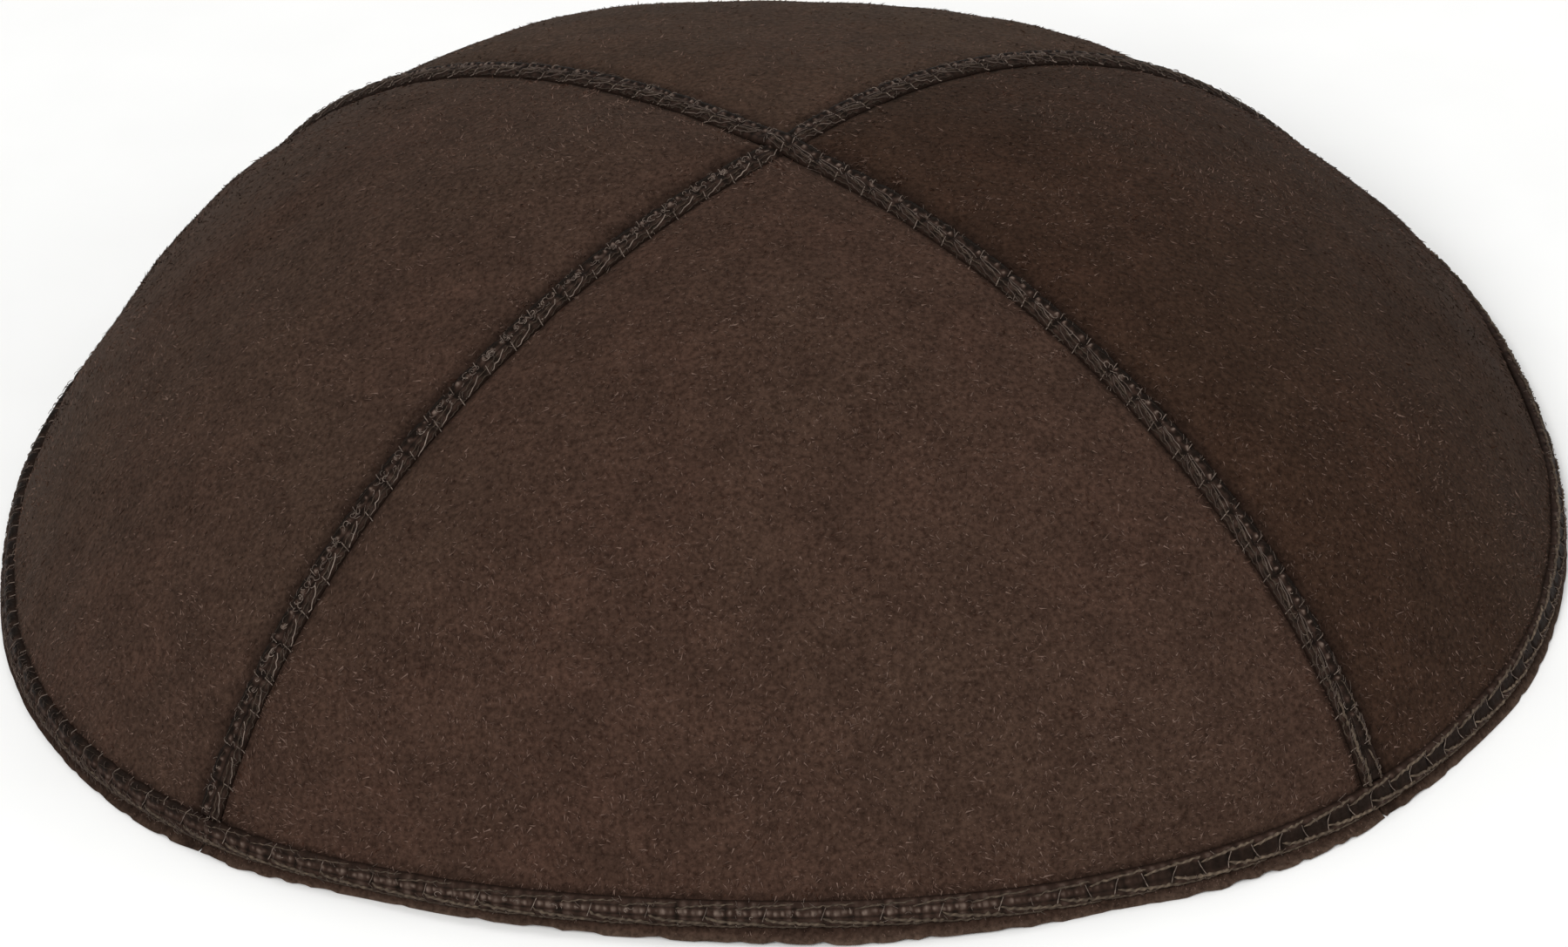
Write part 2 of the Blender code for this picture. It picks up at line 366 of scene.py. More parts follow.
def seam_distance(station, fall):
    """Distance along the suede to the nearest seam."""
    return np.abs(station - 2 * np.round(station / 2)) * station_length(station, fall)


def bell(distance, reach):
    return np.exp(-(distance / reach) ** 2)


def worn_hem(station):
    """One where the hem is worn pale and ragged, and zero at the left, where the hem under the low
    ribbon is painted in shade instead.
    """
    return 1 - np.exp(-(round_distance(station, 6.9) / 1.05) ** 4)


def low_ribbon(station):
    """How far the rim's ribbon hangs over the hem: fully at the left and much at the right."""
    return np.maximum(1 - worn_hem(station), 0.8 * bell(round_distance(station, 3.05), 0.6))


def rim_ribbon_middle(station):
    """Height of the middle of the rim's ribbon above the rim."""
    drop = RIM_RIBBON_DROP + LOW_RIBBON_DROP * low_ribbon(station)
    return RAW_EDGE + RIBBON_WIDTH / 2 - drop


def relief(station, fall, points):
    """Fine shape of the suede: seam valleys, puckers at the stitches and hand-worn unevenness."""
    to_seam = seam_distance(station, fall)
    above_rim = (1 - fall) * fall_length(station)
    stitch = np.cos(2 * np.pi * above_rim / SEAM_STITCH)
    round_length = station * (2 * np.pi / ROUND) * RIM_RADIUS
    rim_stitch = np.cos(2 * np.pi * round_length / RIM_STITCH)
    near_seam = bell(to_seam - 0.0028, 0.0022)
    near_rim = bell(above_rim - 0.0062, 0.0018)
    height = -SEAM_VALLEY * bell(to_seam, 0.0026)
    height += PUCKER * near_seam * stitch * (0.6 + 0.4 * waves(points, 0.012, 5))
    height += PUCKER * near_rim * rim_stitch
    height -= RIM_GROOVE * bell(above_rim - rim_ribbon_middle(station), 0.0018)
    clear_of_trim = np.clip(np.minimum(to_seam, above_rim) / 0.008, 0, 1)
    height += 0.00022 * clear_of_trim * waves(points, 0.034, 6)
    height += 0.00007 * clear_of_trim * waves(points, 0.011, 7)
    return height


def hem_flare(station, fall):
    """How far the suede below the rim's ribbon spreads outward."""
    spread = np.full(np.shape(station), HEM_SPREAD)
    for flare in FLARES:
        spread += flare.spread * bell(round_distance(station, flare.station), flare.reach)
    above_rim = (1 - fall) * fall_length(station)
    return spread * np.clip(1 - above_rim / HEM_DEPTH, 0, 1)


def suede_point(station, fall):
    """Points on the finished outer face of the suede."""
    station, fall = np.broadcast_arrays(np.asarray(station, float), np.asarray(fall, float))
    points = crown_point(station, fall)
    outward = crown_frame(station, fall)[2]
    finished = points + outward * relief(station, fall, points)[..., None]
    level = points * (1.0, 1.0, 0.0)
    return finished + unit(level + 1e-9) * hem_flare(station, fall)[..., None]


def inside_point(station, fall):
    """Points on the inner face of the suede, level with the outer one at the rim, and its way in."""
    hem = SUEDE_THICKNESS / np.tan(rim_slope(station)) / fall_length(station)
    inner_fall = fall * (1 - hem)
    inward = -crown_frame(station, inner_fall)[2]
    points = suede_point(station, inner_fall) + inward * SUEDE_THICKNESS
    points[..., 2] = np.maximum(points[..., 2], 0.0)
    return points, inward


def make_piece(name, points, faces, materials, slot, replaced=None, smooth=True, **values):
    """Piece from points and a list of face arrays, each of quads or triangles.

    Replaced is the model's node that it stands for. Each further value is one number for each
    point, which the material reads by its name.
    """
    data = bpy.data.meshes.new(name)
    loops = np.concatenate([part.ravel() for part in faces]).astype(np.int32)
    sizes = np.concatenate([np.full(len(part), part.shape[1]) for part in faces])
    starts = np.concatenate(([0], np.cumsum(sizes)[:-1]))
    data.vertices.add(len(points))
    data.vertices.foreach_set("co", np.asarray(points, np.float32).ravel())
    data.loops.add(len(loops))
    data.loops.foreach_set("vertex_index", loops)
    data.polygons.add(len(sizes))
    data.polygons.foreach_set("loop_start", starts.astype(np.int32))
    data.update(calc_edges=True)
    data.validate()
    data.polygons.foreach_set("use_smooth", np.full(len(data.polygons), smooth))
    for material in materials:
        data.materials.append(material)
    for key, numbers in values.items():
        attribute = data.attributes.new(key, "FLOAT", "POINT")
        attribute.data.foreach_set("value", np.asarray(numbers, np.float32).ravel())
    item = bpy.data.objects.new(name, data)
    bpy.context.scene.collection.objects.link(item)
    if replaced:
        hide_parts(replaced)
    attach(item, "root")
    return item


def grid_faces(rows, columns, tube=False, loop=False):
    """Quads of a grid of points numbered along its rows, whose rows or columns may close."""
    row, column = np.meshgrid(np.arange(rows if loop else rows - 1),
                              np.arange(columns if tube else columns - 1), indexing="ij")
    here = row * columns
    below = (row + 1) % rows * columns
    after = (column + 1) % columns
    corners = (here + column, here + after, below + after, below + column)
    return np.stack(corners, -1).reshape(-1, 4)


class Nodes:
    """Short way to build a material's node tree."""

    def __init__(self, name):
        self.material = bpy.data.materials.new(name)
        self.material.use_nodes = True
        self.tree = self.material.node_tree
        self.shader = self.tree.nodes["Principled BSDF"]

    def put(self, socket, value):
        if isinstance(value, bpy.types.NodeSocket):
            self.tree.links.new(value, socket)
        else:
            socket.default_value = value

    def add(self, kind, inputs, **settings):
        node = self.tree.nodes.new(kind)
        for key, value in settings.items():
            setattr(node, key, value)
        for key, value in inputs.items():
            self.put(node.inputs[key], value)
        return node

    def spread(self, value, low, high, to_low=0.0, to_high=1.0):
        node = self.add("ShaderNodeMapRange", {
            "Value": value, "From Min": low, "From Max": high, "To Min": to_low, "To Max": to_high})
        return node.outputs["Result"]

    def between(self, share, low, high):
        return self.spread(share, 0, 1, low, high)

    def noise(self, scale, detail, low, high, roughness=0.5):
        """Unevenness from 0, where the noise is low, to 1, where it is high."""
        place = self.add("ShaderNodeTexCoord", {}).outputs["Object"]
        node = self.add("ShaderNodeTexNoise", {
            "Vector": place, "Scale": scale, "Detail": detail, "Roughness": roughness})
        return self.spread(node.outputs["Fac"], low, high)

    def attribute(self, name):
        return self.add("ShaderNodeAttribute", {}, attribute_name=name).outputs["Fac"]

    def times(self, first, second):
        return self.add("ShaderNodeMath", {0: first, 1: second}, operation="MULTIPLY").outputs[0]

    def mix(self, share, first, second, blend="MIX"):
        inputs = {0: share, 6: first, 7: second}
        return self.add("ShaderNodeMix", inputs, data_type="RGBA", blend_type=blend).outputs[2]

    def dimmed(self, color, factors):
        return self.mix(1.0, color, factors + (1.0,), "MULTIPLY")

    def surface(self, color, roughness, specular, **others):
        """Sets the shader's sockets, the others by names such as Sheen_Weight."""
        sockets = {"Base Color": color, "Roughness": roughness, "Specular IOR Level": specular}
        for name, value in (sockets | others).items():
            self.put(self.shader.inputs[name.replace("_", " ")], value)

    def bump(self, height, strength, distance):
        node = self.add("ShaderNodeBump", {
            "Height": height, "Strength": strength, "Distance": distance})
        return node.outputs["Normal"]


def tinted(color, factor):
    """Colour times one factor, or times one for each of its parts."""
    return tuple(np.multiply(color, factor)) + (1.0,)


def suede_color(nodes, base):
    """Brown here redder, there more olive, pale at the edge, with painted shade beside the ribbons
    and on the hem at the left, and its patches.
    """
    hand = nodes.noise(34, 3, 0.35, 0.65)
    patch = nodes.noise(190, 4, 0.35, 0.65, 0.6)
    color = nodes.mix(hand, tinted(base, (1.05, 1, 1)), tinted(base, (0.96, 1, 0.99)))
    color = nodes.mix(nodes.between(patch, 0.0, 0.8), color, tinted(base, 0.70))
    color = nodes.mix(nodes.attribute("edge"), color, EDGE_COLOR)
    # Painted shade beside the ribbons and on the hem at the left
    return nodes.mix(nodes.attribute("crease"), color, CREASE_SHADE_COLOR), patch


def suede_material(panel):
    """Dark ground of the nap, mottled at the scale of a hand, a fingertip and a fibre."""
    nodes = Nodes("suede_" + panel.name)
    color, patch = suede_color(nodes, panel.color)
    grain = nodes.noise(1900, 3, 0.3, 0.7, 0.6)
    ground = nodes.dimmed(color, (0.34, 0.32, 0.31))
    color = nodes.mix(nodes.between(grain, 0.15, 1.0), color, ground)
    nodes.surface(color, nodes.between(grain, 0.88, 1.0), 0.03, Sheen_Weight=0.02,
                  Sheen_Roughness=0.55, Sheen_Tint=(0.80, 0.72, 0.60, 1.0),
                  Normal=nodes.bump(nodes.mix(0.5, grain, patch), 0.5, 0.00025))
    return nodes.material


def nap_material(name, base):
    """Fibres of the nap, each of one tone between dark and the pale tip colour, uneven from one to
    the next.
    """
    nodes = Nodes("nap_" + name)
    color = suede_color(nodes, base)[0]
    grain = nodes.noise(2200, 3, 0.36, 0.66, 0.6)
    shaded = nodes.dimmed(color, (0.36, 0.34, 0.33))
    color = nodes.mix(nodes.between(grain, 0.0, 0.75), color, shaded)
    dark = nodes.dimmed(color, (0.62, 0.54, 0.51))
    # The fibres' pale tone takes the painted shade beside the ribbons too
    light = nodes.mix(nodes.attribute("crease"), FIBRE_TIP_COLOR, CREASE_SHADE_COLOR)
    color = nodes.mix(nodes.attribute("tone"), dark, light)
    nodes.surface(color, nodes.between(grain, 0.9, 1.0), 0.0)
    return nodes.material


def ribbon_material():
    """Satin ribbon, brown where gathered, painted near-black as shade on its smooth half and painted
    pale as glints on its beads.
    """
    nodes = Nodes("ribbon")
    weave = nodes.noise(2600, 2, 0.3, 0.7)
    # The rise attribute is the cloth's paleness, with its painted shade and painted glints
    ramp = nodes.add("ShaderNodeValToRGB", {"Fac": nodes.attribute("rise")})
    stops = ramp.color_ramp.elements
    stops[0].color = (0.0065, 0.0042, 0.0032, 1.0)
    stops[1].color = (0.140, 0.105, 0.086, 1.0)
    stops.new(0.35).color = (0.0310, 0.0180, 0.0136, 1.0)
    satin = ramp.outputs["Color"]
    shaded = nodes.dimmed(satin, (0.6, 0.55, 0.52))
    color = nodes.mix(nodes.between(weave, 0.0, 0.7), satin, shaded)
    nodes.surface(color, nodes.between(weave, 0.5, 0.7), 0.05,
                  Specular_Tint=(1.0, 0.85, 0.7, 1.0), Normal=nodes.bump(weave, 0.25, 0.00008))
    return nodes.material


def thread_material(cord):
    """Fine twisted strand whose colour varies along it, paler as its shade is higher."""
    nodes = Nodes(cord.name)
    twist = nodes.attribute("twist")
    speck = nodes.noise(1400, 3, 0.35, 0.65)
    share = nodes.times(twist, nodes.between(speck, 0.45, 1.0))
    color = nodes.mix(nodes.times(share, nodes.attribute("shade")), cord.dark, cord.light)
    nodes.surface(color, nodes.between(speck, cord.roughness, cord.roughness + 0.2), 0.06,
                  Normal=nodes.bump(twist, 0.4, 0.00005))
    return nodes.material


def inside_material():
    """Flesh side of the suede inside the cap, a little lighter and flatter than the nap."""
    nodes = Nodes("suede_inside")
    base = INSIDE_COLOR
    patch = nodes.noise(70, 4, 0.35, 0.65)
    grain = nodes.noise(1100, 4, 0.3, 0.7, 0.65)
    color = nodes.mix(nodes.between(patch, 0.0, 0.5), tinted(base, 1.0), tinted(base, 0.72))
    color = nodes.mix(nodes.between(grain, 0.0, 0.4), color, tinted(base, 0.55))
    nodes.surface(color, nodes.between(grain, 0.85, 1.0), 0.2, Sheen_Weight=0.1,
                  Normal=nodes.bump(grain, 0.5, 0.0002))
    return nodes.material


def edge_raggedness(station):
    """How far the cut edge stops short of the rim, uneven as scissors and wear leave it."""
    rim = crown_point(station, 1.0)
    coarse = np.clip(0.5 + 0.5 * waves(rim, 0.009, 21), 0, 1)
    fine = np.clip(waves(rim, 0.0022, 22), 0, 1)
    worn = 1 - 0.75 * low_ribbon(station)
    return worn * (0.00016 * coarse + 0.00026 * fine ** 1.5)


def creased(station, fall):
    """Painted shade in the suede beside each ribbon, broader on its far side, and on the hem under
    the rim's ribbon where it hangs low at the left.
    """
    above_rim = (1 - fall) * fall_length(station)
    to_seam = seam_distance(station, fall) - RIBBON_WIDTH / 2
    nearest = np.round(station / 2).astype(int)
    far = np.array([sewing.near for sewing in SEWINGS])[nearest % len(SEWINGS)]
    on_far = np.sign(station - 2 * nearest) == far
    # Painted shade beside the seams' ribbons, broader on their far sides
    seam_line = np.where(on_far, bell(to_seam, 0.0013), 0.5 * bell(to_seam, CREASE_SHADE_REACH))
    from_ribbon = above_rim - rim_ribbon_middle(station)
    to_rim = np.abs(from_ribbon) - RIBBON_WIDTH / 2
    # Painted shade beside the rim's ribbon, broader below it
    rim_line = np.where(from_ribbon < 0, bell(to_rim, 0.0007), bell(to_rim, CREASE_SHADE_REACH))
    # Painted shade on the hem where the rim's ribbon hangs low over it at the left
    hem_shade = 0.6 * (from_ribbon < 0) * (1 - worn_hem(station))
    return 0.8 * np.maximum(np.maximum(seam_line, rim_line), hem_shade)


def cut_edge(station, fall):
    """Paler worn suede towards the cut edge."""
    above_rim = (1 - fall) * fall_length(station)
    return np.clip(1.1 - above_rim / 0.0011, 0, 1) * worn_hem(station)


def add_panel(index, inside):
    """Suede panel as a thin closed shell, with its cut edge at the rim."""
    panel = PANELS[index]
    rows = PANEL_ROWS
    columns = PANEL_COLUMNS
    tip = RIBBON_WIDTH / 2 / fall_length(2 * index)
    down = np.linspace(0, 1, rows)[:, None]
    across = np.linspace(0, 1, columns)[None, :]
    # Columns gather towards the seams and rows towards the rim, where the detail is
    across = across - 0.055 * np.sin(2 * np.pi * across)
    down = down + 0.14 * np.sin(np.pi * down)
    seam = np.full_like(down, 2.0 * index)
    inset = CLEARANCE / 2 / station_length(seam, tip + (1 - tip) * down)
    station = seam + inset + (2 - 2 * inset) * across
    edge = 1 - edge_raggedness(station) / fall_length(station)
    fall = tip + (edge - tip) * down
    outer = suede_point(station, fall)
    outer[..., 2] = np.maximum(outer[..., 2], 0.0)
    inner = inside_point(station, fall)[0]
    points = np.concatenate((outer.reshape(-1, 3), inner.reshape(-1, 3)))
    count = rows * columns
    grid = np.arange(count).reshape(rows, columns)
    ring = np.concatenate((grid[0], grid[1:, -1], grid[-1, -2::-1], grid[-2:0:-1, 0]))
    after = np.roll(ring, -1)
    faces = [grid_faces(rows, columns)[:, ::-1],
             np.stack((ring, after, after + count, ring + count), -1),
             grid_faces(rows, columns) + count]
    item = make_piece("suede_" + panel.name, points, faces, [suede_material(panel), inside],
                      "suede", "panel_" + panel.name,
                      crease=np.concatenate((creased(station, fall).ravel(), np.zeros(count))),
                      edge=np.tile(cut_edge(station, fall).ravel(), 2))
    slots = np.zeros(len(item.data.polygons), np.int32)
    slots[-len(faces[-1]):] = 1
    item.data.polygons.foreach_set("material_index", slots)
    item.data.set_sharp_from_angle(angle=math.radians(50))


def scattered_places(index, count, rng):
    """Even random places on a panel."""
    falls = np.linspace(0.01, 1, 200)
    weight = np.cumsum(np.sin(falls * math.radians(66)))
    fall = np.interp(rng.uniform(0, weight[-1], count), weight, falls)
    station = 2 * index + rng.uniform(0, 2, count)
    return station, fall


def add_fibres(name, roots, ways, sides, lengths, widths, material, **values):
    """Tapered fibres, each one thin triangle from its root to its tip."""
    points = np.empty((len(roots), 3, 3))
    points[:, 0] = roots - sides * widths[:, None] / 2
    points[:, 1] = roots + sides * widths[:, None] / 2
    points[:, 2] = roots + ways * lengths[:, None]
    points[..., 2] = np.maximum(points[..., 2], 0.00005)
    faces = np.arange(len(roots) * 3).reshape(-1, 3)
    values = {key: np.repeat(numbers, 3) for key, numbers in values.items()}
    make_piece(name, points.reshape(-1, 3), [faces], [material], "suede", smooth=False, **values)


def turned(first, second, angle):
    """Directions turned by angles from first ones towards second ones."""
    return first * np.cos(angle)[:, None] + second * np.sin(angle)[:, None]


def add_nap(index):
    """Short raised nap over a panel, brushed one way and another in soft patches."""
    panel = PANELS[index]
    rng = np.random.default_rng(panel.seed)
    station, fall = scattered_places(index, NAP_FIBRES[index], rng)
    above_rim = (1 - fall) * fall_length(station)
    under_seam = seam_distance(station, fall) < RIBBON_COVERS
    under_rim = np.abs(above_rim - rim_ribbon_middle(station)) < RIBBON_COVERS
    cut_off = above_rim < 0.0001 + edge_raggedness(station)
    free = ~(under_seam | under_rim | cut_off)
    station, fall, above_rim = (part[free] for part in (station, fall, above_rim))
    round_way, down_way, outward = crown_frame(station, fall)
    roots = suede_point(station, fall) - outward * NAP_ROOT_DEPTH
    count = len(roots)
    brushed = 1.5 + 1.1 * waves(roots, 0.045, 31) + 0.5 * waves(roots, 0.009, 32)
    turn = brushed + rng.normal(0, 0.8, count)
    # Nap on the narrow cut edge lies back over it and stays short
    at_edge = above_rim < EDGE_NAP_HEIGHT
    turn = np.where(at_edge, -1.57 + rng.normal(0, 0.7, count), turn)
    lie = np.radians(np.clip(rng.normal(11, 7, count), 2, 40)) * np.where(at_edge, 0.3, 1.0)
    ways = turned(round_way, down_way, turn)
    ways = turned(ways, outward, lie)
    sides = unit(np.cross(ways, outward + 0.35 * rng.normal(size=(count, 3))))
    lengths = rng.gamma(6.0, NAP_LENGTH / 6, count) * np.where(at_edge, 0.6, 1.0)
    widths = rng.uniform(0.00016, 0.00028, count)
    clumps = 0.08 * waves(roots, 0.0006, 33) + 0.03 * waves(roots, 0.0022, 34)
    tones = np.clip(0.05 + rng.beta(0.75, 2.9, count) * 1.15 + clumps, 0, 0.66)
    add_fibres("nap_" + panel.name, roots, ways, sides, lengths, widths,
               nap_material(panel.name, panel.color),
               tone=tones, crease=creased(station, fall), edge=0.8 * cut_edge(station, fall))


Path = namedtuple("Path", "along seats sides outs places looks stitch closed")


def traced(route, start, end, near, looks, stitch, closed=False, lift=0.0):
    """Evenly stepped path along route(place), with the side nearer the front as its side.

    Lift is how far the path stands out where it goes over or under another at the crown.
    """
    fine = np.linspace(start, end, 4001)
    points = crown_point(*route(fine))
    lengths = np.concatenate(([0], np.cumsum(np.linalg.norm(np.diff(points, axis=0), axis=1))))
    along = np.linspace(0, lengths[-1], int(lengths[-1] / RIBBON_STEP) + 1)
    places = np.interp(along, lengths, fine)
    station, fall = route(places)
    seats = crown_point(station, fall)
    outs = crown_frame(station, np.maximum(fall, 0.01))[2]
    ahead = unit(np.gradient(seats, axis=0))
    sides = near * unit(np.cross(ahead, outs))
    stitch = lengths[-1] / round(lengths[-1] / stitch)
    from_crown = fall_length(station) * fall
    above = (lift * bell(from_crown, 0.0024) - RIBBON_SINK)[:, None]
    seats = seats + above * outs
    return Path(along, seats, sides, outs, np.abs(places), looks, stitch, closed)


def looked(path, along, name):
    """How strong one look of the ribbon is at distances along a path."""
    if name is None:
        return np.ones(np.shape(along))
    places = np.interp(inside_path(path, along), path.along, path.places)
    return np.interp(places, [look.place for look in path.looks],
                     [getattr(look, name) for look in path.looks])


def inside_path(path, along):
    """Distances brought onto the path: round again if it is closed, else held at its ends."""
    length = path.along[-1]
    return np.mod(along, length) if path.closed else np.clip(along, 0, length)


def on_path(path, along, across, height):
    """Points at distances along a path, shares of its half width across, and heights above it."""
    along = inside_path(path, along)

    def at(rows):
        return np.stack([np.interp(along, path.along, rows[:, part]) for part in range(3)], -1)

    across = np.broadcast_to(across, np.shape(along))[..., None]
    height = np.broadcast_to(height, np.shape(along))[..., None]
    outs = unit(at(path.outs))
    return at(path.seats) + at(path.sides) * across * RIBBON_WIDTH / 2 + outs * height, outs


def wobble(path, along, size, seed):
    """Seeded unevenness from -1 to 1 about along a path, which meets itself round the rim."""
    rng = np.random.default_rng(seed)
    length = path.along[-1]
    total = np.zeros(np.shape(along))
    for factor, phase in zip(rng.uniform(0.6, 1.6, 5), rng.uniform(0, 2 * np.pi, 5)):
        total += np.sin(2 * np.pi * along / length * round(length / size * factor) + phase)
    return total / 1.6


def rim_route(station):
    return station, 1 - rim_ribbon_middle(station) / fall_length(station)


def ribbon_foot(station):
    """Fall at which a seam's ribbon stops, just above the rim's ribbon."""
    foot = rim_ribbon_middle(station) + RIBBON_WIDTH / 2 + CLEARANCE
    return 1 - foot / fall_length(station)


def seam_route(station):
    def route(fall):
        return np.full_like(fall, station), fall
    return route


def long_route(place):
    """Front-right seam while place is above zero, then the back-left seam beyond the crown."""
    return np.where(place >= 0, 2.0, 6.0), np.abs(place)


def to_rung(path, along):
    """Signed distance to the nearest crossing thread, of which the rim has two a stitch."""
    pitch = path.stitch / (2 if path.closed else 1)
    return ((along / pitch + 0.5) % 1 - 0.5) * pitch


def cloth(path, along, across):
    """Height of a ribbon's cloth over its seat, and how pale it is, with painted shade and painted
    glints in that paleness.
    """
    along, across = np.broadcast_arrays(along, across)
    roll = looked(path, along, "roll")
    beads = looked(path, along, "beads")
    pane = looked(path, along, "pane")
    distance = to_rung(path, along)
    leaf = 1 - 0.75 * bell(distance, 0.0005)
    drift = 0.05 * wobble(path, along, 0.004, 91)
    length = path.along[-1]
    pitches = round(length / (RIM_BEAD_PITCH if path.closed else SEAM_BEAD_PITCH))
    phase = along * pitches / length + 0.15 * across + 0.14 * wobble(path, along, 0.004, 92)
    bead = (0.5 + 0.5 * np.cos(2 * np.pi * phase)) ** (1.3 if path.closed else 5.0)
    uneven = np.clip(0.85 + 0.35 * wobble(path, along, 0.0021, 93), 0.2, 1.3)
    bead_row = bell(across + 0.12 + 0.10 * roll - drift, 0.17 - 0.04 * roll)
    rounded = np.exp(-((across + 0.58) / 0.36) ** 4)
    far = np.clip((-0.12 + drift - across) / 0.1, 0, 1)
    hollow = np.exp(-(across / 0.58) ** 6)
    pinch = bell(distance, 0.00022) * np.clip(1.2 - np.abs(across), 0, 1)

    height = RIBBON_BODY * (1 - np.abs(across) ** 3.2) ** 0.5
    height += ROLL_RISE * roll * rounded * leaf
    height -= PANE_DEPTH * pane * hollow
    height += BEAD_RISE * beads * bead_row * (bead - 0.3) * uneven
    height -= PINCH * pinch

    pale = (0.36 if path.closed else 0.24) + 0.10 * wobble(path, along, 0.0016, 94)
    # Painted shade on the smooth far half of the roll and in the pane's hollow
    pale = pale * (1 - roll * far * leaf) * (1 - 0.8 * pane * hollow)
    # Painted glints on the beads
    pale += (0.8 if path.closed else 1.3) * beads * bead_row * bead * uneven
    # Painted shade in the seats of the beads and of the ridge beside them
    pale -= 0.26 * (1 - pane) * (bell(across + 0.44, 0.07) * (1 - roll) + bell(across - 0.22, 0.08))
    pale -= 0.20 * (1 - pane) * bell(across - 0.70, 0.07)
    # Painted shade in each pinch at a crossing thread
    pale -= 0.25 * pinch
    on_top = np.clip((1 - np.abs(across)) / 0.12, 0, 1)
    return height, np.clip(0.15 + (pale - 0.15) * on_top, 0, 1)


def add_ribbon(name, path, material):
    """Gathered satin ribbon along a path, as a closed strip."""
    across = np.linspace(-1, 1, RIBBON_COLUMNS)
    along = path.along[:-1, None] if path.closed else path.along[:, None]
    height, pale = cloth(path, along, across[None, :])
    wide = np.concatenate((across, (0.85, 0.0, -0.85)))
    below = ((0, 0), (0, len(wide) - len(across)))
    heights = np.pad(height, below, constant_values=RIBBON_UNDERSIDE)
    # Each crossing thread draws the smooth edge in
    drawn_in = 0.16 * looked(path, along, "roll") * bell(to_rung(path, along), 0.0006)
    spread_across = np.where(wide < -0.5, wide * (1 - drawn_in), wide)
    spread_along = np.broadcast_to(along, heights.shape)
    points = on_path(path, spread_along, spread_across, heights)[0]
    rows, columns = heights.shape
    faces = [grid_faces(rows, columns, tube=True, loop=path.closed)]
    if not path.closed:
        end = np.arange(columns)[None, :]
        faces += [end[:, ::-1], end + (rows - 1) * columns]
    # Rise carries the cloth's paleness, with painted shade and painted glints in it
    make_piece("ribbon_" + name, points.reshape(-1, 3), faces, [material], "ribbon", name,
               rise=np.pad(pale, below))


class Strands:
    """Fine round strands laid on a ribbon and gathered into one mesh."""

    def __init__(self, seed, steps, path, origin=0.0, way=1, length=None):
        self.path = path
        self.origin = origin
        self.way = way
        self.length = path.along[-1] if length is None else length
        self.rng = np.random.default_rng(seed)
        # How far along a strand each of its steps is, its bow there and how near an end it is
        self.share = np.linspace(0, 1, steps)
        self.bow = np.sin(np.pi * self.share)
        self.near_end = np.abs(2 * self.share - 1)
        self.laid = []

    def vary(self, value, amount, count):
        return (value + self.rng.normal(0, amount, count))[:, None]

    def draw(self, low, high, count):
        return self.rng.uniform(low, high, count)[:, None]

    def place(self, along):
        """Distance along the path of a distance from the strands' own start."""
        return self.origin + self.way * along

    def lay(self, along, across, lift, radius, shade):
        """Strands by steps: places along and across, lift over the cloth, radius, paleness."""
        along, across = np.broadcast_arrays(self.place(along), across)
        height = cloth(self.path, along, np.clip(across, -0.98, 0.98))[0]
        height = np.maximum(height, 0.0002) + lift
        points, outs = on_path(self.path, along, across, height)
        self.keep(points, outs, radius, shade)

    def keep(self, points, outs, radius, shade):
        grid = points.shape[:2]
        self.laid.append((points, outs, np.broadcast_to(radius, grid), np.broadcast_to(shade, grid)))

    def strew(self, amount, share_at):
        """Random distances, so many a metre where share_at a place along the path is one."""
        count = int(self.length * amount)
        along = self.rng.uniform(0, self.length, count)
        return along[self.rng.uniform(0, 1, count) < share_at(self.place(along))][:, None]

    def build(self, name, material, slot, pitch):
        """Piece of all the strands, with a twist of the given pitch for its material."""
        points, outs, radii, shades = (np.concatenate(parts) for parts in zip(*self.laid))
        strands, steps = points.shape[:2]
        ahead = unit(np.gradient(points, axis=1) + 1e-9)
        level = unit(np.cross(ahead, outs))
        rise = np.cross(level, ahead)
        turn = np.arange(STRAND_SIDES) * 2 * np.pi / STRAND_SIDES
        ring = level[:, :, None] * np.cos(turn)[:, None] + rise[:, :, None] * np.sin(turn)[:, None]
        skin = points[:, :, None] + ring * radii[..., None, None]
        first = np.arange(strands)[:, None, None] * steps * STRAND_SIDES
        faces = (first + grid_faces(steps, STRAND_SIDES, tube=True)).reshape(-1, 4)
        steps_long = np.linalg.norm(np.diff(points, axis=1, prepend=points[:, :1]), axis=-1)
        length = np.cumsum(steps_long, 1)
        wave = 0.5 + 0.5 * np.sin(2 * np.pi * length[..., None] / pitch + turn)
        make_piece(name, skin.reshape(-1, 3), [faces], [material], slot, twist=0.35 + 0.65 * wave,
                   shade=np.repeat(shades, STRAND_SIDES))


